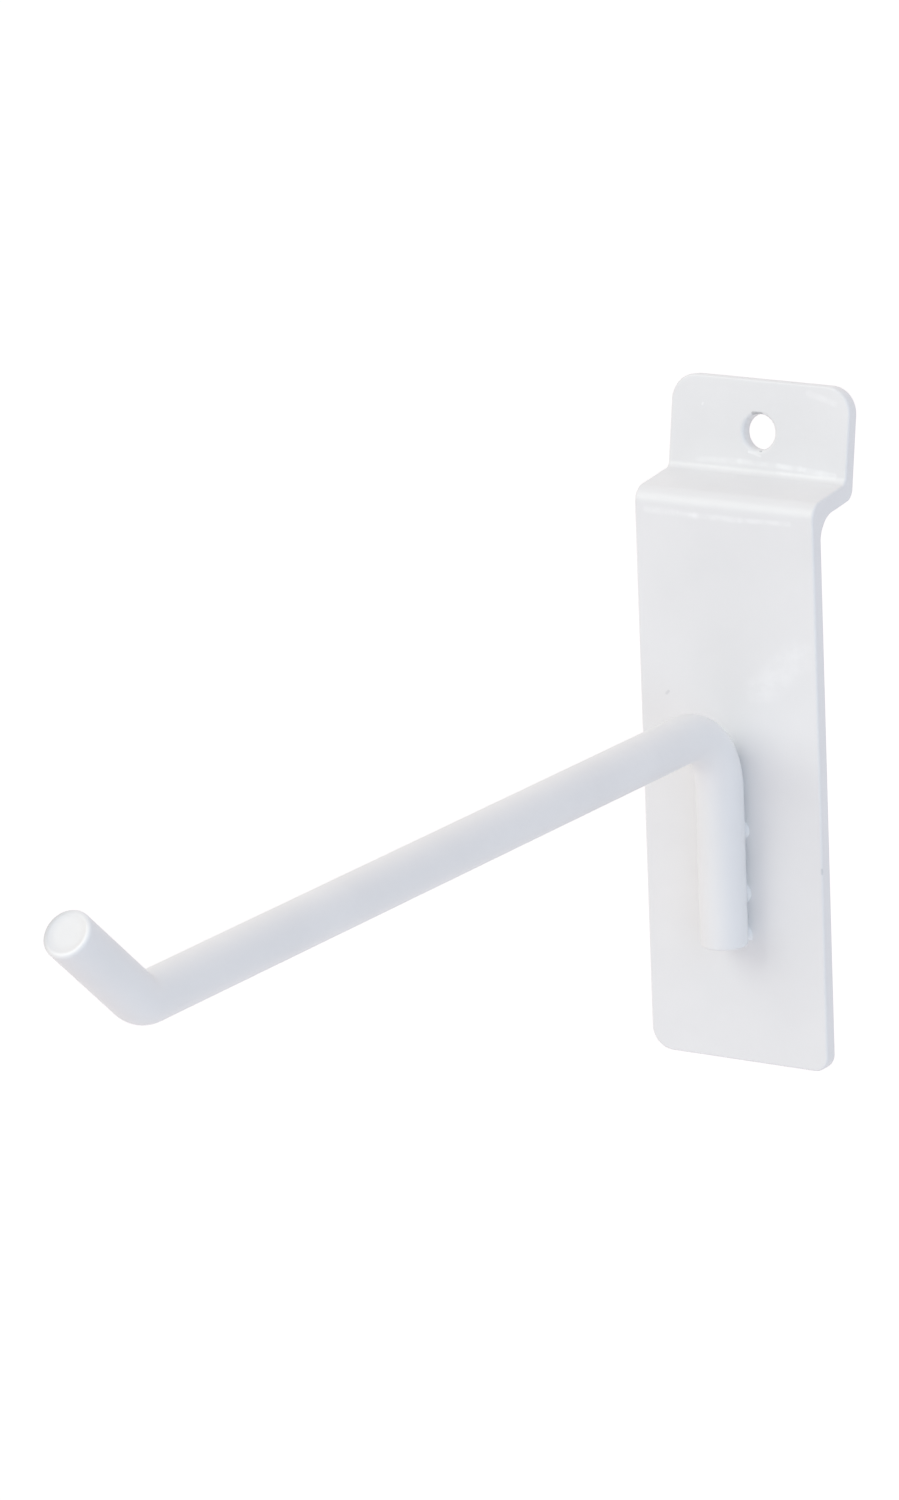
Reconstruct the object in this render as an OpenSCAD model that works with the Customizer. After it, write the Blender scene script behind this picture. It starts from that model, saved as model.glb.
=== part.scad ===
// Slatwall hook: a round bar welded to a flat strip that is bent to hang in a panel's groove.
// Millimetres. The origin lies on the wall face at the arm's height, midway across the plate.
// +Z is up, the arm runs out along -Y, and the groove's hollow lies behind the wall face, along +Y.

/* [Strip] */
// Width of the flat strip that the back plate is bent from
strip_w = 25.4; // [20:0.2:40]
// Thickness of the strip
strip_t = 2; // [1:0.1:2.5]
// Thickness of the ledge, which the press has squeezed thicker than the rest of the strip
ledge_t = 2.4; // [1:0.1:3]
// Height of the arm's centre line above the plate's lower edge
plate_below_arm = 44.5; // [38:0.1:60]
// Height of the plate's front above the arm's centre line, up to where it meets the ledge's top
plate_above_arm = 28.1; // [22:0.1:40]
// Depth from the wall face back to the tongue's front, at the ledge
lip_gap = 6.4; // [5:0.1:10]
// Slope of the ledge, rising towards the tongue
ledge_slope = 6.5; // [0:0.5:10]
// Length of the tongue above the ledge
tongue_len = 11.8; // [10:0.1:20]
// Lean of the tongue, away from the upright
tongue_lean = 9; // [0:0.5:12]
// Corner radius at the plate's lower edge
foot_corner_r = 3; // [0.5:0.1:5]
// Corner radius at the tongue's upper edge
tongue_corner_r = 3.4; // [0.5:0.1:5]

/* [Bends of the strip] */
// Front radius where the plate turns back into the ledge, on the outside of that bend
plate_bend_front_r = 2.1; // [0.5:0.1:2.5]
// Back radius where the plate turns back into the ledge, on the inside of that bend
plate_bend_back_r = 3.5; // [0.3:0.1:4]
// Front radius where the ledge turns up into the tongue, on the inside of that bend
tongue_bend_front_r = 1; // [0.3:0.1:1.5]
// Back radius where the ledge turns up into the tongue, on the outside of that bend
tongue_bend_back_r = 1.6; // [0.5:0.1:2.5]

/* [Hanger hole] */
// Diameter of the hole that the hook hangs from while it is coated and packed
hole_d = 4.4; // [3:0.1:7]
// Rounding of the hole's rims, front and back
hole_rim_r = 0.5; // [0.2:0.1:0.9]
// From the tongue's upper edge down to the hole's centre
hole_down = 6.5; // [5:0.1:8]

/* [Bar] */
// Diameter of the round bar
bar_d = 6; // [5:0.1:8]
// From the wall face out to the point where the centre lines of the arm and the tip cross
arm_reach = 131.1; // [60:0.1:300]
// Length of the tip, from that crossing to its end
tip_len = 17.5; // [12:0.1:40]
// Rise of the tip above the level
tip_rise = 41; // [20:1:70]
// Centre-line radius of the bend up into the tip
tip_bend_r = 4.8; // [4.2:0.1:12]
// Centre-line radius of the bend down into the leg
leg_bend_r = 8.5; // [5:0.1:10]
// From the arm's centre line down to the end of the leg
leg_drop = 28.6; // [26:0.1:36]
// Depth of the flat that the welds press into the leg's back
leg_flat = 0.15; // [0.05:0.05:0.4]
// Rounding at the rim of the tip's end
tip_round = 0.5; // [0.3:0.1:2]
// Rounding at the rim of the leg's end
leg_round = 0.5; // [0.2:0.1:1.5]
// How much the bar's radius shrinks where it was bent
bend_thinning = 0.02; // [0.01:0.01:0.1]

/* [Welds] */
// Radius of the patch that each weld squeezes out round its middle
weld_r = 2.4; // [2.2:0.1:3]
// Radius of the hollow in which the squeezed metal meets leg and plate
weld_fillet_r = 0.4; // [0.2:0.05:0.8]
// From the arm's centre line down to the middle of the upper weld
upper_weld_down = 14.3; // [11:0.1:16]
// From the middle of the upper weld down to that of the middle weld
middle_weld_step = 8.1; // [6:0.1:9]
// From the leg's end up to the middle of the lower weld
lower_weld_up = 0.9; // [0.5:0.1:2.5]

/* [Hidden] */
$fn = 96;
far = 100;
// How deep one piece of a form runs into the next, where the two are one solid
overlap = 0.05;
// Angle between the strip's face and the rounding of the hanger hole's rim, where they meet
rim_angle = 20;

plate_front = -strip_t;
bar_r = bar_d / 2;
leg_y = plate_front - bar_r + leg_flat;

// In the strip's side view an angle is counted from the way into the wall, upwards.
// These are the ways along the plate, the ledge and the tongue from their bends.
down_plate = -90;
up_tongue = 90 - tongue_lean;
ledge_to_tongue = ledge_slope;
ledge_to_plate = ledge_slope + 180;

function dir(angle) = [cos(angle), sin(angle)];

// Point where the line through p at angle a meets the line through q at angle b
function meet(p, a, q, b) = p + dir(a) * ((q - p) * dir(b - 90)) / (dir(a) * dir(b - 90));

// Corners of the strip's front side, from the foot up, before the bends are rounded
foot_front = [plate_front, -plate_below_arm];
plate_top_front = [plate_front, plate_above_arm];
tongue_foot_front = [lip_gap, plate_above_arm + (lip_gap + strip_t) * tan(ledge_slope)];
tongue_top_front = tongue_foot_front + tongue_len * dir(up_tongue);

// The same corners on the back side, one thickness away
ledge_under = tongue_foot_front + ledge_t * dir(ledge_to_tongue - 90);
tongue_top_back = tongue_top_front + strip_t * dir(up_tongue - 90);
foot_back = [0, -plate_below_arm];
plate_top_back = meet(foot_back, down_plate, ledge_under, ledge_to_tongue);
tongue_foot_back = meet(ledge_under, ledge_to_tongue, tongue_top_back, up_tongue);

// A corner at c has two sides that leave it at the angles a and b. An arc of radius r
// that rounds it takes up this much of each side, and has its centre here.
function run_out(a, b, r) = r / tan(abs(b - a) / 2);
function arc_centre(c, a, b, r) = c + dir((a + b) / 2) * r / sin(abs(b - a) / 2);

// Cutter that rounds a corner which stands out
module corner_cut(c, a, b, r) {
    past_corner = c - dir((a + b) / 2) * r;
    difference() {
        polygon([past_corner, c + dir(a) * run_out(a, b, r), c + dir(b) * run_out(a, b, r)]);
        translate(arc_centre(c, a, b, r)) circle(r);
    }
}

// Side view of the bent strip
module strip_profile() {
    plate_run = run_out(ledge_to_tongue, down_plate, plate_bend_back_r);
    tongue_run = run_out(up_tongue, ledge_to_plate, tongue_bend_front_r);
    difference() {
        polygon([foot_front,
                 plate_top_front,
                 tongue_foot_front + tongue_run * dir(ledge_to_plate),
                 tongue_foot_front + tongue_run * dir(up_tongue),
                 tongue_top_front,
                 tongue_top_back,
                 tongue_foot_back,
                 plate_top_back + plate_run * dir(ledge_to_tongue),
                 plate_top_back + plate_run * dir(down_plate),
                 foot_back]);
        translate(arc_centre(plate_top_back, ledge_to_tongue, down_plate, plate_bend_back_r))
            circle(plate_bend_back_r);
        translate(arc_centre(tongue_foot_front, up_tongue, ledge_to_plate, tongue_bend_front_r))
            circle(tongue_bend_front_r);
        corner_cut(plate_top_front, ledge_to_tongue, down_plate, plate_bend_front_r);
        corner_cut(tongue_foot_back, up_tongue, ledge_to_plate, tongue_bend_back_r);
    }
}

// Cutter for one corner of a flat end that lies in the XZ plane and ends upwards at z = 0
module end_corner_cut(side, r) {
    translate([side * (strip_w / 2 - r), 0, -r]) difference() {
        translate([side * r, 0, r]) cube([2 * r, far, 2 * r], center = true);
        rotate([90, 0, 0]) cylinder(r = r, h = far + 1, center = true);
    }
}

// Places its children at the tongue's upper edge, on its front, leaning with it
module on_tongue() {
    translate([0, tongue_top_front[0], tongue_top_front[1]]) rotate([-tongue_lean, 0, 0]) children();
}

// Cutter for the hanger hole, into a front that lies at y = 0. Its rims are rounded, and the
// rounding leaves the strip's faces at a slight angle.
module hole_cut() {
    rim_x = hole_d / 2 + hole_rim_r;
    rim_depth = hole_rim_r * cos(rim_angle);
    rotate([-90, 0, 0]) rotate_extrude() difference() {
        translate([0, -1]) square([rim_x, strip_t + 2]);
        for (depth = [rim_depth, strip_t - rim_depth])
            translate([rim_x, depth]) circle(hole_rim_r);
        translate([hole_d / 2, rim_depth]) square([hole_rim_r, strip_t - 2 * rim_depth]);
    }
}

module back_plate() {
    color("whitesmoke") difference() {
        rotate([90, 0, 90]) linear_extrude(strip_w, center = true) strip_profile();
        for (side = [-1, 1]) {
            translate([0, 0, -plate_below_arm]) mirror([0, 0, 1]) end_corner_cut(side, foot_corner_r);
            on_tongue() end_corner_cut(side, tongue_corner_r);
        }
        on_tongue() translate([0, 0, -hole_down]) hole_cut();
    }
}

// Length of bar that ends upwards at z = 0 with a rounded rim
module bar_end(length, rim_r) {
    rotate_extrude() {
        translate([0, -length]) square([bar_r, length - rim_r]);
        translate([0, -rim_r - overlap]) square([bar_r - rim_r, rim_r + overlap]);
        intersection() {
            translate([bar_r - rim_r, -rim_r]) circle(rim_r);
            translate([0, -rim_r - overlap]) square([bar_r, rim_r + overlap]);
        }
    }
}

// Bend of the bar in the YZ plane: it starts level at the origin, heading out along -Y,
// and turns up by the angle given. Both its ends run a little into the straights.
module bar_bend(angle, bend_r) {
    extra = asin(overlap / bend_r);
    translate([0, 0, bend_r]) rotate([180, 90, 0]) rotate([0, 0, -extra])
        rotate_extrude(angle = angle + 2 * extra)
            translate([bend_r, 0]) circle(bar_r - bend_thinning);
}

tip_setback = tip_bend_r * tan(tip_rise / 2);
straight_start = leg_y - leg_bend_r;
straight_end = -arm_reach + tip_setback;

module arm() {
    color("gainsboro") difference() {
        union() {
            // Leg
            translate([0, leg_y, -leg_drop]) mirror([0, 0, 1])
                bar_end(leg_drop - leg_bend_r, leg_round);
            // Bend between leg and arm
            translate([0, straight_start, 0]) rotate([180, 0, 0]) bar_bend(90, leg_bend_r);
            // Straight arm
            translate([0, straight_start, 0]) rotate([90, 0, 0])
                cylinder(r = bar_r, h = straight_start - straight_end);
            // Bend up into the tip
            translate([0, straight_end, 0]) bar_bend(tip_rise, tip_bend_r);
            // Tip
            translate([0, -arm_reach, 0]) rotate([90 - tip_rise, 0, 0])
                translate([0, 0, tip_len]) bar_end(tip_len - tip_setback, tip_round);
        }
        // Flat on the leg's back, pressed against the plate by the welds
        translate([-bar_r, plate_front, -leg_drop - 1]) cube([bar_d, bar_r, leg_drop]);
    }
}

// Half the width of the leg's flat, and how far out the hollow of a weld touches the plate
flat_half = sqrt(bar_r * bar_r - (bar_r - leg_flat) * (bar_r - leg_flat));
toe_x = sqrt(pow(bar_r + weld_fillet_r, 2) - pow(bar_r - leg_flat - weld_fillet_r, 2));

// Section of the metal squeezed out on one side of the leg, seen from above
module weld_section() {
    leg_centre = [0, leg_y];
    hollow_centre = [toe_x, plate_front - weld_fillet_r];
    leg_touch = leg_centre + (hollow_centre - leg_centre) * bar_r / (bar_r + weld_fillet_r);
    difference() {
        polygon([[flat_half, plate_front], [toe_x, plate_front], leg_touch]);
        translate(leg_centre) circle(bar_r);
        translate(hollow_centre) circle(weld_fillet_r);
    }
}

// One weld, centred the given distance below the arm's centre line
module weld(down) {
    color("silver") intersection() {
        translate([0, 0, -down - weld_r]) for (side = [0, 1])
            mirror([side, 0, 0]) linear_extrude(2 * weld_r) weld_section();
        translate([0, 0, -down]) rotate([90, 0, 0]) cylinder(r = weld_r, h = far, center = true);
    }
}

module weld_upper() {
    weld(upper_weld_down);
}

module weld_middle() {
    weld(upper_weld_down + middle_weld_step);
}

module weld_lower() {
    intersection() {
        weld(leg_drop - lower_weld_up);
        translate([-far / 2, -far / 2, -leg_drop]) cube(far);
    }
}

back_plate();
arm();
weld_upper();
weld_middle();
weld_lower();
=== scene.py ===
# %% [markdown]
# # A slatwall hook
# A slatwall hook hangs in the groove of a shop panel and carries goods on its arm. It is made of a flat
# steel strip that is bent twice, a round bar that is bent twice, and three small welds between them.
# All of it is dipped in one white powder coat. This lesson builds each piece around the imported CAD
# model, which is loaded first and says where everything is. One Blender unit is one metre.

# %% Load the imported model
import math

import bpy
from mathutils import Matrix, Vector


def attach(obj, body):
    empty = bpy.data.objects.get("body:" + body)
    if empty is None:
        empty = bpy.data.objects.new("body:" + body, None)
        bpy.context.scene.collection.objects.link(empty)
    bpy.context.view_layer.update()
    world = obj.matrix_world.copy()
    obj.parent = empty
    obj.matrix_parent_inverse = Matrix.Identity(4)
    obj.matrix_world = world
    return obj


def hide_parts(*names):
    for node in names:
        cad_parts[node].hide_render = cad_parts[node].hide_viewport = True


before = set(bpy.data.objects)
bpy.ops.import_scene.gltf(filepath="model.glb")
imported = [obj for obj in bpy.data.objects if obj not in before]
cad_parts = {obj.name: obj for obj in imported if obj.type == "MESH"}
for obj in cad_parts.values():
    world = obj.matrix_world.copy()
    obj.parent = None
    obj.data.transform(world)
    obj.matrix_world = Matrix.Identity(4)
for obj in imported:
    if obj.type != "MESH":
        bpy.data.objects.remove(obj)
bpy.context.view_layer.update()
MM = 0.001
print("nodes:", sorted(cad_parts))

# %% [markdown]
# ## The camera
# The photograph was taken from in front, a little above and to the right, with a long lens from about a
# metre away. The long lens keeps the plate's edges nearly parallel. The camera is turned by a matrix whose
# columns are its right, its up and the way back to it, so that its slight roll can be set as well.

# %% Camera
AZIMUTH = math.radians(32.8)
ELEVATION = math.radians(15.41)
ROLL = math.radians(-2.34)
CAMERA_DISTANCE = 0.9637
CAMERA_SIDEWAYS = -0.03581
CAMERA_LIFT = -0.003
LENS = 186.6

back = Vector((math.sin(AZIMUTH) * math.cos(ELEVATION), -math.cos(AZIMUTH) * math.cos(ELEVATION),
               math.sin(ELEVATION)))
level_right = Vector((math.cos(AZIMUTH), math.sin(AZIMUTH), 0))
level_up = back.cross(level_right)
right = math.cos(ROLL) * level_right + math.sin(ROLL) * level_up
up = math.cos(ROLL) * level_up - math.sin(ROLL) * level_right

bpy.ops.object.camera_add()
camera = bpy.context.object
camera.data.lens = LENS
camera.data.sensor_width = 36
camera.data.clip_start = 0.01
camera.data.clip_end = 100
turn = Matrix((right, up, back)).transposed().to_4x4()
place = back * CAMERA_DISTANCE + level_right * CAMERA_SIDEWAYS + level_up * CAMERA_LIFT
camera.matrix_world = Matrix.Translation(place) @ turn
bpy.context.scene.camera = camera
print("camera at", [round(v, 3) for v in place])

# %% [markdown]
# ## Tools for selecting
# A modeller clicks on the edge to be shaped. In a script the edge is picked by its place instead. Each
# helper works on the mesh that is being edited, and takes a rule that says yes or no to a point.


# %% Helpers
def deselect_all():
    bpy.ops.object.select_all(action="DESELECT")


def start_editing(mode):
    bpy.ops.object.mode_set(mode="EDIT")
    bpy.ops.mesh.select_mode(type=mode)


def select_where(rule, kind="edges"):
    """Selects the vertices, edges or polygons of the active piece whose every corner fits the rule."""
    mesh = bpy.context.object.data
    bpy.ops.mesh.select_all(action="DESELECT")
    bpy.ops.object.mode_set(mode="OBJECT")
    points = [v.co for v in mesh.vertices]
    if kind == "vertices":
        found = [v for v in mesh.vertices if rule(v.co)]
    else:
        found = [part for part in getattr(mesh, kind) if all(rule(points[i]) for i in part.vertices)]
    for part in found:
        part.select = True
    bpy.ops.object.mode_set(mode="EDIT")
    return len(found)


def near(a, b, reach=0.01 * MM):
    return abs(a - b) < reach


def stop_editing(name):
    """Closes the mesh, turns its faces outwards and gives the piece its name."""
    bpy.ops.mesh.select_all(action="SELECT")
    bpy.ops.mesh.remove_doubles(threshold=0.0005 * MM)
    bpy.ops.mesh.normals_make_consistent(inside=False)
    bpy.ops.object.mode_set(mode="OBJECT")
    piece = bpy.context.object
    piece.name = name
    piece.data.name = name
    bpy.ops.object.transform_apply(location=True, rotation=True, scale=True)
    return piece


def cut_off(at, way):
    """Cuts the mesh being edited along a plane, takes away what lies past it and closes the cut."""
    bpy.ops.mesh.select_all(action="SELECT")
    bpy.ops.mesh.bisect(plane_co=at, plane_no=way, clear_outer=True, use_fill=True, threshold=0.0001 * MM)


def apply_modifier(piece, kind, **settings):
    modifier = piece.modifiers.new(kind.title(), kind)
    for key, value in settings.items():
        setattr(modifier, key, value)
    bpy.ops.object.modifier_apply(modifier=modifier.name)


def report(piece):
    low = [round(min(v.co[i] for v in piece.data.vertices) / MM, 2) for i in range(3)]
    high = [round(max(v.co[i] for v in piece.data.vertices) / MM, 2) for i in range(3)]
    print(piece.name, len(piece.data.polygons), "faces, from", low, "to", high)


# %% [markdown]
# ## The strip's sizes
# The strip is 25.4 mm wide and 2 mm thick. In a side view, with y going into the wall and z going up, it
# runs up the wall, back into the groove and up behind the panel's lip. The corners of that line are the
# same as in the CAD source. Each is where two straight sides of the strip would cross if the press had
# no radius.

# %% Corners of the strip in its side view
STRIP_W = 25.4 * MM
STRIP_T = 2 * MM
LEDGE_T = 2.4 * MM
PLATE_FOOT = -44.5 * MM
PLATE_TOP = 28.1 * MM
LIP_GAP = 6.4 * MM
LEDGE_SLOPE = math.radians(6.5)
TONGUE_LEAN = math.radians(9)
TONGUE_LEN = 11.8 * MM

along_ledge = Vector((0, math.cos(LEDGE_SLOPE), math.sin(LEDGE_SLOPE)))
under_ledge = Vector((0, math.sin(LEDGE_SLOPE), -math.cos(LEDGE_SLOPE)))
along_tongue = Vector((0, math.sin(TONGUE_LEAN), math.cos(TONGUE_LEAN)))
behind_tongue = Vector((0, math.cos(TONGUE_LEAN), -math.sin(TONGUE_LEAN)))


def crossing(p, p_way, q, q_way):
    """Where the line from p along p_way meets the line from q along q_way, in the side view."""
    gap = q - p
    share = (gap.y * q_way.z - gap.z * q_way.y) / (p_way.y * q_way.z - p_way.z * q_way.y)
    return p + p_way * share


front = [Vector((0, -STRIP_T, PLATE_FOOT)), Vector((0, -STRIP_T, PLATE_TOP))]
front.append(Vector((0, LIP_GAP, PLATE_TOP + (LIP_GAP + STRIP_T) * math.tan(LEDGE_SLOPE))))
front.append(front[2] + along_tongue * TONGUE_LEN)
ledge_under = front[2] + under_ledge * LEDGE_T
tongue_back = front[3] + behind_tongue * STRIP_T
behind = [Vector((0, 0, PLATE_FOOT))]
behind.append(crossing(behind[0], Vector((0, 0, 1)), ledge_under, along_ledge))
behind.append(crossing(ledge_under, along_ledge, tongue_back, along_tongue))
behind.append(tongue_back)
print("front corners (y, z) in mm:", [(round(p.y / MM, 2), round(p.z / MM, 2)) for p in front])

# %% [markdown]
# ## Folding the strip
# The real strip is cut to length, punched and folded in a press. Here its end face is extruded three times,
# up the plate, along the ledge and up the tongue. An extrusion moves the whole face by one step, so its
# back edge is then slid into the mitre of the fold. That gives a sharp Z, which is easy to measure.

# %% Sharp folded strip
deselect_all()
bpy.ops.mesh.primitive_plane_add(size=1, location=(0, -STRIP_T / 2, PLATE_FOOT))
bpy.context.object.scale = (STRIP_W, STRIP_T, 1)
bpy.ops.object.transform_apply(location=True, rotation=True, scale=True)
start_editing("FACE")
bpy.ops.mesh.select_all(action="SELECT")
for step in range(1, 4):
    bpy.ops.mesh.extrude_region_move(TRANSFORM_OT_translate={"value": front[step] - front[step - 1]})
    at = behind[step - 1] + front[step] - front[step - 1]
    select_where(lambda p: near(p.y, at.y) and near(p.z, at.z), "vertices")
    bpy.ops.transform.translate(value=behind[step] - at)
    ends = (front[step], behind[step])
    select_where(lambda p: any(near(p.y, e.y) and near(p.z, e.z) for e in ends), "polygons")

# %% [markdown]
# ## Rounding the folds
# A press leaves a radius on both sides of each fold. A bevel of an edge takes up the same run on both
# sides, so the run for a radius follows from the angle between them. Many segments make the bevel a
# smooth bend. The four corners of the strip's two ends are rounded in the same way. In the photograph the
# foot's right corner came out of the cropping tool a little tighter than its left one.

# %% Bends and corners
BEND_SEGMENTS = 14
CORNER_SEGMENTS = 16
FOOT_CORNER_R = {-1: 2.9 * MM, 1: 2.0 * MM}
TONGUE_CORNER_R = 3.4 * MM
PLATE_FOLD = math.pi / 2 + LEDGE_SLOPE
TONGUE_FOLD = math.pi / 2 + TONGUE_LEAN + LEDGE_SLOPE


def bevel_selected(run, segments):
    bpy.ops.mesh.bevel(offset_type="OFFSET", offset=run, segments=segments, profile=0.5,
                       affect="EDGES", clamp_overlap=False)


def round_fold(corner, angle, radius):
    select_where(lambda p: near(p.y, corner.y) and near(p.z, corner.z))
    bevel_selected(radius / math.tan(angle / 2), BEND_SEGMENTS)


start_editing("EDGE")
round_fold(front[1], PLATE_FOLD, 2.1 * MM)
round_fold(behind[1], PLATE_FOLD, 3.5 * MM)
round_fold(front[2], TONGUE_FOLD, 1 * MM)
round_fold(behind[2], TONGUE_FOLD, 1.6 * MM)
for side in (-1, 1):
    select_where(lambda p: near(p.x, side * STRIP_W / 2) and near(p.z, PLATE_FOOT))
    bevel_selected(FOOT_CORNER_R[side], CORNER_SEGMENTS)
    select_where(lambda p: near(p.x, side * STRIP_W / 2) and (p - front[3]).dot(along_tongue) > -0.01 * MM)
    bevel_selected(TONGUE_CORNER_R, CORNER_SEGMENTS)
back_plate = stop_editing("back_plate_coated")
report(back_plate)

# %% [markdown]
# ## The hanger hole
# The hook hangs from this hole on the coating line. A cylinder that stands square to the tongue is taken
# out of the strip with a Boolean modifier, and is deleted once the modifier has been applied.

# %% Hanger hole
HOLE_R = 2.2 * MM
HOLE_RIM_R = 0.5 * MM
HOLE_DOWN = 6.5 * MM
hole_place = front[3] - along_tongue * HOLE_DOWN + behind_tongue * STRIP_T / 2
deselect_all()
bpy.ops.mesh.primitive_cylinder_add(vertices=80, radius=HOLE_R, depth=8 * MM, location=hole_place,
                                    rotation=(math.pi / 2 - TONGUE_LEAN, 0, 0))
punch = bpy.context.object
deselect_all()
back_plate.select_set(True)
bpy.context.view_layer.objects.active = back_plate
apply_modifier(back_plate, "BOOLEAN", operation="DIFFERENCE", object=punch, solver="EXACT")
bpy.data.objects.remove(punch)


def on_hole_rim(p, face):
    """True on the hole's edge in the tongue's front, or in its back for a face of 1."""
    middle = front[3] - along_tongue * HOLE_DOWN + behind_tongue * STRIP_T * face
    out = p - middle
    return near(out.dot(behind_tongue), 0) and near(out.length, HOLE_R)


start_editing("EDGE")
for face in (0, 1):
    select_where(lambda p: on_hole_rim(p, face))
    bevel_selected(HOLE_RIM_R, 8)
back_plate = stop_editing("back_plate_coated")
report(back_plate)

# %% [markdown]
# ## Soft edges
# Powder melts into a skin that can't follow a sharp edge, so every rim of the real strip shines as a thin
# round line. A Bevel modifier that only takes edges sharper than 50 degrees finds all the rims and leaves
# the bends alone. Weighted normals keep the flats flat next to them.

# %% Rims of the strip
apply_modifier(back_plate, "BEVEL", width=0.35 * MM, segments=5, limit_method="ANGLE",
               angle_limit=math.radians(50), use_clamp_overlap=False)
bpy.ops.object.shade_smooth_by_angle(angle=math.radians(35))
apply_modifier(back_plate, "WEIGHTED_NORMAL", weight=90, keep_sharp=True)
report(back_plate)
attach(back_plate, "root")
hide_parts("back_plate")

# %% [markdown]
# ## The bar
# One round bar makes the leg, the arm and the tip. A ring of points at the leg's end is extruded along each
# straight and spun round the middle of each bend, which is what a bending machine does with the bar.
# The spin turns about an axis along x, by the angle of the bend.

# %% Bent bar
BAR_R = 3 * MM
LEG_FLAT = 0.15 * MM
LEG_DROP = 28.6 * MM
LEG_BEND_R = 8.5 * MM
ARM_REACH = 131.1 * MM
TIP_RISE = math.radians(41)
TIP_BEND_R = 4.8 * MM
TIP_LEN = 17.5 * MM
leg_y = -STRIP_T - BAR_R + LEG_FLAT
tip_setback = TIP_BEND_R * math.tan(TIP_RISE / 2)
tip_way = Vector((0, -math.cos(TIP_RISE), math.sin(TIP_RISE)))
arm_start = leg_y - LEG_BEND_R
arm_end = -ARM_REACH + tip_setback


def extrude_by(step):
    bpy.ops.mesh.extrude_region_move(TRANSFORM_OT_translate={"value": step})


def bend_about(y, z, angle, steps):
    bpy.ops.mesh.spin(steps=steps, angle=angle, center=(0, y, z), axis=(-1, 0, 0))


deselect_all()
bpy.ops.mesh.primitive_circle_add(vertices=72, radius=BAR_R, fill_type="NOTHING",
                                  location=(0, leg_y, -LEG_DROP))
bpy.ops.object.transform_apply(location=True, rotation=True, scale=True)
start_editing("EDGE")
bpy.ops.mesh.select_all(action="SELECT")
extrude_by((0, 0, LEG_DROP - LEG_BEND_R))
bend_about(arm_start, -LEG_BEND_R, math.pi / 2, 20)
extrude_by((0, arm_end - arm_start, 0))
bend_about(arm_end, TIP_BEND_R, -TIP_RISE, 12)
extrude_by(tip_way * (TIP_LEN - tip_setback))

# %% [markdown]
# ## The bar's two ends
# The bar was cut in a shear, and the coat has run round the cut. Each open end is closed with a face, and
# the ring round it is bevelled. Powder gathers on an edge, so the tip's face lies a little lower than its
# rim: it is inset a few times, each time a little smaller and deeper, as a potter would press a dish.

# %% Bar ends
LEG_ROUND = 0.5 * MM
TIP_ROUND = 0.5 * MM
DISH = ((0.1, -0.02), (0.2, -0.08), (0.25, -0.09), (0.35, -0.05), (0.5, -0.02))
tip_end = Vector((0, -ARM_REACH, 0)) + tip_way * TIP_LEN


def on_tip_end(p):
    return abs((p - tip_end).dot(tip_way)) < 0.001 * MM


bpy.ops.mesh.edge_face_add()
select_where(lambda p: near(p.z, -LEG_DROP))
bpy.ops.mesh.edge_face_add()
bpy.ops.mesh.select_all(action="SELECT")
bpy.ops.mesh.normals_make_consistent(inside=False)
select_where(lambda p: near(p.z, -LEG_DROP))
bevel_selected(LEG_ROUND, 6)
select_where(on_tip_end)
bevel_selected(TIP_ROUND, 10)
bpy.ops.mesh.select_mode(type="FACE")
select_where(on_tip_end, "polygons")
for width, depth in DISH:
    bpy.ops.mesh.inset(thickness=width * MM, depth=depth * MM)

# %% [markdown]
# ## The flat on the leg
# The welding press squeezed the leg a little against the plate, which left a narrow flat down its back. A
# bisect cut along the plate's front takes that sliver off and closes the cut.

# %% Flat, and the finished bar
cut_off((0, -STRIP_T, 0), (0, 1, 0))
arm = stop_editing("arm_coated")
bpy.ops.object.shade_smooth_by_angle(angle=math.radians(35))
apply_modifier(arm, "WEIGHTED_NORMAL", weight=90, keep_sharp=True)
report(arm)
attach(arm, "root")
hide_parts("arm")

# %% [markdown]
# ## The welds
# The leg was pressed on the plate and welded by a current at three places. Each weld squeezed a little
# metal out to both sides, which fills the dark gap beside the leg there. A flattened ball that lies a
# little behind the plate's front is cut along that front, so that its rim meets the plate at a slant, and
# a copy of the leg's round is taken out of it with a Boolean modifier. That leaves one low bead on each
# side of the leg. The real leg isn't used for the cut, because its flat lies in the same plane as the
# bead's back, and a Boolean of two faces in one plane can come out differently from run to run.

# %% Weld beads
WELD_HALF = Vector((2.65, 1.4, 1.9)) * MM
WELD_SINK = 0.55 * MM
WELD_FOOT = 0.1 * MM - LEG_DROP
WELD_DOWN = {"weld_upper": 14.3 * MM, "weld_middle": 22.4 * MM, "weld_lower": 27.8 * MM}
welds = []
for node, down in WELD_DOWN.items():
    deselect_all()
    bpy.ops.mesh.primitive_uv_sphere_add(segments=64, ring_count=32, radius=1,
                                         location=(0, WELD_SINK - STRIP_T, -down))
    bpy.context.object.scale = WELD_HALF
    bpy.ops.object.transform_apply(location=True, rotation=True, scale=True)
    start_editing("FACE")
    cut_off((0, -STRIP_T, 0), (0, 1, 0))
    cut_off((0, 0, WELD_FOOT), (0, 0, -1))
    bead = stop_editing(node + "_bead")
    deselect_all()
    bpy.ops.mesh.primitive_cylinder_add(vertices=72, radius=BAR_R, depth=12 * MM, location=(0, leg_y, -down))
    leg_round = bpy.context.object
    deselect_all()
    bead.select_set(True)
    bpy.context.view_layer.objects.active = bead
    apply_modifier(bead, "BOOLEAN", operation="DIFFERENCE", object=leg_round, solver="EXACT")
    bpy.data.objects.remove(leg_round)
    bpy.ops.object.shade_smooth_by_angle(angle=math.radians(35))
    report(bead)
    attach(bead, "root")
    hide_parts(node)
    welds.append(bead)

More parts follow.
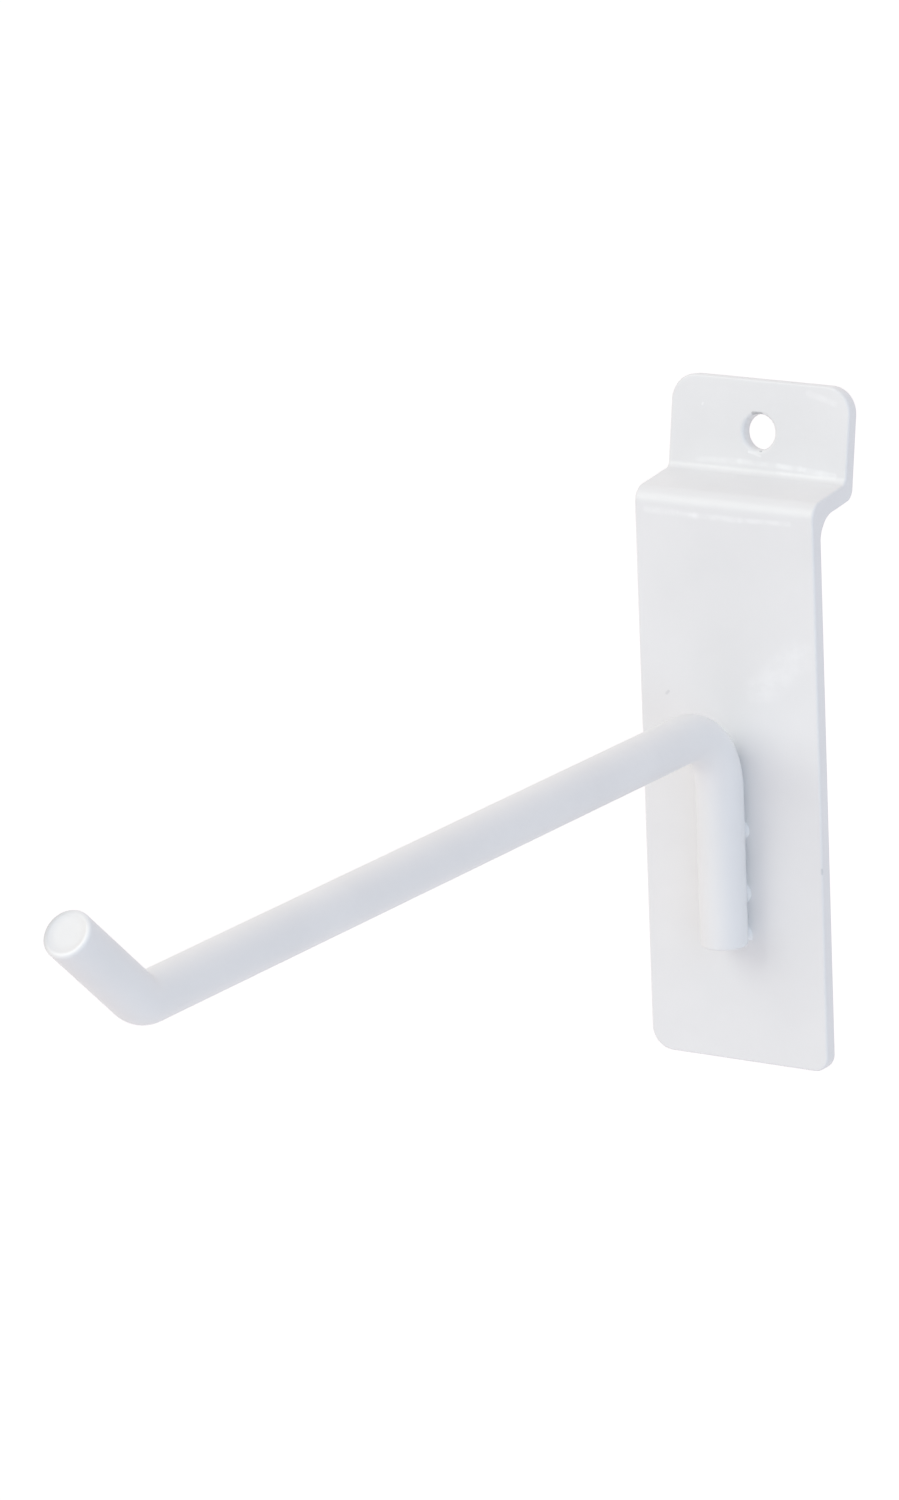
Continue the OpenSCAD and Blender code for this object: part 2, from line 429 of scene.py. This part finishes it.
# %% [markdown]
# ## White powder coat
# The coat is a satin white paint that was sprayed on as powder and melted. It is almost one colour, so its
# character is in small things: clouds where the skin is thicker, a fine orange peel that breaks up the
# reflections, and a few specks and pits. All are noise on the object's own coordinates, in metres, so a
# scale of 1000 gives grains of about a millimetre.


# %% Powder coat
class Paint:
    """Adds and joins the nodes of one material."""

    def __init__(self, name):
        self.material = bpy.data.materials.new(name)
        self.material.use_nodes = True
        self.tree = self.material.node_tree
        self.shader = self.tree.nodes["Principled BSDF"]
        self.place = self.add("ShaderNodeTexCoord").outputs["Object"]

    def add(self, kind, inputs=None, **settings):
        node = self.tree.nodes.new(kind)
        for key, value in settings.items():
            setattr(node, key, value)
        for key, value in (inputs or {}).items():
            if isinstance(value, bpy.types.NodeSocket):
                self.tree.links.new(value, node.inputs[key])
            else:
                node.inputs[key].default_value = value
        return node

    def noise(self, scale, detail=2):
        found = self.add("ShaderNodeTexNoise", {"Vector": self.place, "Scale": scale, "Detail": detail})
        return found.outputs["Fac"]

    def remap(self, value, low, high, to_low, to_high, smooth=False):
        found = self.add("ShaderNodeMapRange", {"Value": value, "From Min": low, "From Max": high,
                                                "To Min": to_low, "To Max": to_high},
                         interpolation_type="SMOOTHSTEP" if smooth else "LINEAR")
        return found.outputs["Result"]

    def sum_of(self, a, b, operation="ADD"):
        return self.add("ShaderNodeMath", {0: a, 1: b}, operation=operation).outputs[0]

    def mix(self, share, a, b):
        found = self.add("ShaderNodeMix", {"Factor": share}, data_type="RGBA")
        for key, value in (("A", a), ("B", b)):
            socket = next(s for s in found.inputs if s.name == key and s.type == "RGBA")
            if isinstance(value, bpy.types.NodeSocket):
                self.tree.links.new(value, socket)
            else:
                socket.default_value = value
        return next(s for s in found.outputs if s.type == "RGBA")

    def streak(self, start, end, radius, feather):
        """1 within a radius of the line between two points, all in millimetres, fading to 0 outside it."""
        start, end = Vector(start) * MM, Vector(end) * MM
        out = self.add("ShaderNodeVectorMath", {0: self.place, 1: start}, operation="SUBTRACT").outputs[0]
        run = self.add("ShaderNodeVectorMath", {0: out, 1: (end - start) / (end - start).length_squared},
                       operation="DOT_PRODUCT").outputs["Value"]
        run = self.remap(run, 0, 1, 0, 1)
        nearest = self.add("ShaderNodeVectorMath", {0: end - start, "Scale": run}, operation="SCALE").outputs[0]
        gap = self.add("ShaderNodeVectorMath", {0: out, 1: nearest}, operation="DISTANCE").outputs["Value"]
        return self.remap(gap, radius * MM, (radius + feather) * MM, 1, 0, smooth=True)

    def arc(self, centre, radius, width, way):
        """1 on a ring round a point, where it faces the given way, fading to 0 over a width on both sides."""
        out = self.add("ShaderNodeVectorMath", {0: self.place, 1: Vector(centre)}, operation="SUBTRACT")
        out = out.outputs[0]
        gap = self.add("ShaderNodeVectorMath", {0: out}, operation="LENGTH").outputs["Value"]
        inside = self.remap(gap, (radius - width) * MM, radius * MM, 0, 1, smooth=True)
        outside = self.remap(gap, radius * MM, (radius + width) * MM, 1, 0, smooth=True)
        facing = self.add("ShaderNodeVectorMath", {0: out, 1: Vector(way).normalized()},
                          operation="DOT_PRODUCT").outputs["Value"]
        facing = self.remap(facing, 0, radius * MM, 0, 1, smooth=True)
        return self.sum_of(self.sum_of(inside, outside, "MULTIPLY"), facing, "MULTIPLY")


THIN_COAT = (0.815, 0.817, 0.825, 1)
THICK_COAT = (0.845, 0.846, 0.852, 1)
SPECK = (0.42, 0.43, 0.45, 1)


def powder_coat(name, roughness, speck_share):
    paint = Paint(name)
    clouds = paint.remap(paint.noise(70, 3), 0.35, 0.65, 0, 1)
    colour = paint.mix(clouds, THIN_COAT, THICK_COAT)
    cells = paint.add("ShaderNodeTexVoronoi", {"Vector": paint.place, "Scale": 190})
    dots = paint.remap(cells.outputs["Distance"], 0.02, 0.05, 1, 0, smooth=True)
    chosen = paint.add("ShaderNodeSeparateColor", {"Color": cells.outputs["Color"]}).outputs["Red"]
    chosen = paint.remap(chosen, speck_share, speck_share + 0.01, 1, 0)
    specks = paint.sum_of(dots, chosen, "MULTIPLY")
    colour = paint.mix(paint.sum_of(specks, 0.5, "MULTIPLY"), colour, SPECK)
    peel = paint.noise(900, 2)
    grain = paint.noise(3200, 1)
    height = paint.sum_of(paint.sum_of(peel, paint.sum_of(grain, 0.2, "MULTIPLY")), specks, "SUBTRACT")
    bump = paint.add("ShaderNodeBump", {"Height": height, "Strength": 0.25, "Distance": 0.04 * MM})
    paint.tree.links.new(bump.outputs["Normal"], paint.shader.inputs["Normal"])
    gloss = paint.remap(peel, 0.3, 0.7, roughness - 0.04, roughness + 0.04)
    paint.tree.links.new(gloss, paint.shader.inputs["Roughness"])
    paint.colour = colour
    return paint


def finish_paint(paint, *objects):
    paint.tree.links.new(paint.colour, paint.shader.inputs["Base Color"])
    for piece in objects:
        piece.data.materials.clear()
        piece.data.materials.append(paint.material)
    print(paint.material.name, "on", [piece.name for piece in objects])


weld_paint = powder_coat("weld_powder_coat", 0.42, 0.05)
finish_paint(weld_paint, *welds)

# %% [markdown]
# ## Marks and painted light on the plate
# The plate isn't perfect. Thin bright lines along both folds are painted highlight on the bends, partly rub
# lines from the press, and a painted highlight runs along the tongue's top right rim. A painted highlight and a
# dark dot of painted shade stand in for a small bead of coat in the hanger hole's lower rim, and painted shade
# darkens the top of its rim. There are also a few small scuffs, a light speck and a broad soft lighter patch.
# Each is a streak between two points, and noise along it breaks it up so that it doesn't look drawn.

# %% Marks
# The first colour paints rub lines, painted highlights, a light speck and a soft lighter patch. The second
# paints scuffs and painted shade, and the third paints shade at the top of the hanger hole.
RUB_AND_HIGHLIGHT = (0.98, 0.985, 0.99, 1)
SCUFF_AND_SHADE = (0.30, 0.32, 0.35, 1)
HOLE_TOP_SHADE = (0.10, 0.11, 0.12, 1)
MARKS_AND_PAINTED_LIGHT = (
    # painted highlight, partly press rub lines, along the plate's fold
    ((-11.0, -2.0, 25.6), (-4.0, -2.0, 25.4), 0.10, 0.60, 0.35, RUB_AND_HIGHLIGHT),
    ((-6.4, -2.0, 25.5), (-4.0, -2.0, 25.4), 0.05, 0.30, 0.40, RUB_AND_HIGHLIGHT),
    ((-4.0, -2.0, 25.4), (2.4, -2.0, 25.4), 0.10, 0.50, 0.40, RUB_AND_HIGHLIGHT),
    ((2.4, -2.0, 25.4), (9.3, -2.0, 25.6), 0.05, 0.45, 0.45, RUB_AND_HIGHLIGHT),
    # painted highlight, partly press rub lines, along the tongue's fold
    ((-8.5, 6.6, 30.3), (-2.5, 6.6, 30.5), 0.08, 0.50, 0.30, RUB_AND_HIGHLIGHT),
    ((-2.5, 6.6, 30.5), (3.0, 6.6, 30.4), 0.08, 0.45, 0.35, RUB_AND_HIGHLIGHT),
    ((3.0, 6.6, 30.4), (6.2, 6.6, 30.3), 0.12, 0.40, 0.60, RUB_AND_HIGHLIGHT),
    ((6.8, 6.6, 30.2), (11.0, 6.5, 29.9), 0.12, 0.40, 0.60, RUB_AND_HIGHLIGHT),
    ((3.0, 6.5, 29.6), (11.0, 6.5, 29.4), 0.05, 0.40, 0.25, RUB_AND_HIGHLIGHT),
    # painted highlight along the tongue's top right rim
    ((6.8, 8.1, 39.6), (10.6, 7.9, 38.7), 0.10, 0.50, 0.35, RUB_AND_HIGHLIGHT),
    # painted highlight on the hanger hole's lower lip, standing in for a small bead of coat
    ((-1.2, 6.8, 31.8), (0.4, 6.7, 31.4), 0.05, 0.20, 0.9, RUB_AND_HIGHLIGHT),
    ((-8.2, 7.7, 37.0), (-8.1, 7.7, 37.2), 0.06, 0.12, 1.0, RUB_AND_HIGHLIGHT),
    ((10.4, -2.0, 9.1), (4.6, -2.0, 4.0), 0.40, 2.60, 0.3, RUB_AND_HIGHLIGHT),
    ((-8.9, -2.0, 2.2), (-8.6, -2.0, 2.5), 0.06, 0.22, 0.45, SCUFF_AND_SHADE),
    ((12.7, -2.0, -18.6), (12.7, -2.0, -18.1), 0.06, 0.25, 0.5, SCUFF_AND_SHADE),
    # painted shade: a dark dot in the hanger hole's lower rim, under that bead of coat
    ((0.3, 6.9, 32.0), (0.5, 6.9, 32.0), 0.05, 0.15, 0.8, SCUFF_AND_SHADE),
    # painted shade along the top of the hanger hole's rim
    ((-0.9, 7.6, 36.5), (0.2, 7.6, 36.5), 0.12, 0.25, 0.9, HOLE_TOP_SHADE),
)
plate_paint = powder_coat("plate_powder_coat", 0.36, 0.06)
broken = plate_paint.remap(plate_paint.noise(600, 2), 0.38, 0.60, 0.45, 1)
for start, end, radius, feather, strength, tone in MARKS_AND_PAINTED_LIGHT:
    share = plate_paint.streak(start, end, radius, feather)
    share = plate_paint.sum_of(share, plate_paint.sum_of(broken, strength, "MULTIPLY"), "MULTIPLY")
    plate_paint.colour = plate_paint.mix(share, plate_paint.colour, tone)
finish_paint(plate_paint, back_plate)

# %% [markdown]
# ## The tip's end
# The coat stands as a bead just inside the rim of the bar's cut end. A painted highlight brightens its lower
# right
# side, and painted shade greys its upper left side and darkens the face towards its left rim. Each is an arc:
# part of a ring round the middle of the end.

# %% Tip's end
TIP_HIGHLIGHT_WAY = Vector((0.79, -0.40, -0.46))
TIP_HIGHLIGHT_AND_SHADE_ARCS = (
    # painted highlight on the lower right of the tip's face
    (2.60, 0.40, TIP_HIGHLIGHT_WAY, 0.8, RUB_AND_HIGHLIGHT),
    # painted shade on the upper left of the tip's face
    (2.50, 0.25, -TIP_HIGHLIGHT_WAY, 0.16, SCUFF_AND_SHADE),
    # painted shade towards the left rim of the tip's face
    (2.80, 0.75, Vector((-1, 0.1, 0.2)), 0.34, SCUFF_AND_SHADE),
)
arm_paint = powder_coat("arm_powder_coat", 0.40, 0.03)
for radius, width, way, strength, tone in TIP_HIGHLIGHT_AND_SHADE_ARCS:
    share = arm_paint.sum_of(arm_paint.arc(tip_end, radius, width, way), strength, "MULTIPLY")
    arm_paint.colour = arm_paint.mix(share, arm_paint.colour, tone)
finish_paint(arm_paint, arm)

# %% [markdown]
# ## Floor
# A hook hangs on a shop wall at about chest height, so the floor is well below it and far out of its
# shadow's reach. The floor is pale grey, and it gives off a little light to the camera alone, which lifts
# it to white as in the photograph and still keeps any shadow that falls on it.

# %% Floor
FLOOR_HEIGHT = -1.2
deselect_all()
bpy.ops.mesh.primitive_plane_add(size=24, location=(0, 0, FLOOR_HEIGHT))
floor = bpy.context.object
floor.name = "floor"
floor_paint = bpy.data.materials.new("floor_pale")
floor_paint.use_nodes = True
tree = floor_paint.node_tree
pale = tree.nodes["Principled BSDF"]
pale.inputs["Base Color"].default_value = (0.75, 0.75, 0.76, 1)
pale.inputs["Roughness"].default_value = 0.9
rays = tree.nodes.new("ShaderNodeLightPath")
seen = tree.nodes.new("ShaderNodeMath")
seen.operation = "MAXIMUM"
tree.links.new(rays.outputs["Is Camera Ray"], seen.inputs[0])
tree.links.new(rays.outputs["Is Glossy Ray"], seen.inputs[1])
seen_through = tree.nodes.new("ShaderNodeMath")
seen_through.operation = "MAXIMUM"
tree.links.new(seen.outputs[0], seen_through.inputs[0])
tree.links.new(rays.outputs["Is Transmission Ray"], seen_through.inputs[1])
lift = tree.nodes.new("ShaderNodeMath")
lift.operation = "MULTIPLY"
tree.links.new(seen_through.outputs[0], lift.inputs[0])
lift.inputs[1].default_value = 0.5
pale.inputs["Emission Color"].default_value = (1, 1, 1, 1)
tree.links.new(lift.outputs[0], pale.inputs["Emission Strength"])
floor.data.materials.append(floor_paint)

# %% [markdown]
# ## Light
# The photograph has the even light of a white tent. The world gives the tent: it is white where the
# camera or a reflection sees it, and a little dimmer as light on the object. Three big square lamps shape
# it, all of them so large and near that their shadows stay soft: a window from the upper left in front, a
# weaker bluish one from the right, and the light that comes back up from the table.

# %% World and lamps
TENT = (1.0, 0.94, 0.95, 1)
TENT_STRENGTH = 0.707
LAMP_DISTANCE = 1.2
world = bpy.data.worlds.new("tent")
bpy.context.scene.world = world
world.use_nodes = True
tree = world.node_tree
soft_light = tree.nodes["Background"]
soft_light.inputs["Color"].default_value = TENT
soft_light.inputs["Strength"].default_value = TENT_STRENGTH
white = tree.nodes.new("ShaderNodeBackground")
white.inputs["Color"].default_value = (1, 1, 1, 1)
white.inputs["Strength"].default_value = 1
rays = tree.nodes.new("ShaderNodeLightPath")
either = tree.nodes.new("ShaderNodeMath")
either.operation = "MAXIMUM"
tree.links.new(rays.outputs["Is Camera Ray"], either.inputs[0])
tree.links.new(rays.outputs["Is Glossy Ray"], either.inputs[1])
any_view = tree.nodes.new("ShaderNodeMath")
any_view.operation = "MAXIMUM"
tree.links.new(either.outputs[0], any_view.inputs[0])
tree.links.new(rays.outputs["Is Transmission Ray"], any_view.inputs[1])
choose = tree.nodes.new("ShaderNodeMixShader")
tree.links.new(any_view.outputs[0], choose.inputs["Fac"])
tree.links.new(soft_light.outputs[0], choose.inputs[1])
tree.links.new(white.outputs[0], choose.inputs[2])
tree.links.new(choose.outputs[0], tree.nodes["World Output"].inputs["Surface"])


def lamp(name, way, size, power, colour):
    """A square lamp out along the way given from the hook's middle, looking back at it."""
    middle = Vector((0, -65, 0)) * MM
    bpy.ops.object.light_add(type="AREA", location=middle + Vector(way).normalized() * LAMP_DISTANCE)
    found = bpy.context.object
    found.name = name
    found.rotation_mode = "QUATERNION"
    found.rotation_quaternion = Vector(way).to_track_quat("Z", "Y")
    found.data.shape = "SQUARE"
    found.data.size = size
    found.data.energy = power
    found.data.color = colour
    return found


lamp("window", (-0.5, -0.65, 0.57), 0.85, 5.05, (0.95, 1.0, 0.91))
lamp("cool_side", (0.9, -0.4, 0.2), 1.4, 4.45, (0.42, 0.74, 1.0))
lamp("table_bounce", (0, -0.4, -0.9), 1.4, 4.45, (1.0, 0.98, 1.0))
bpy.context.scene.view_settings.view_transform = "Standard"
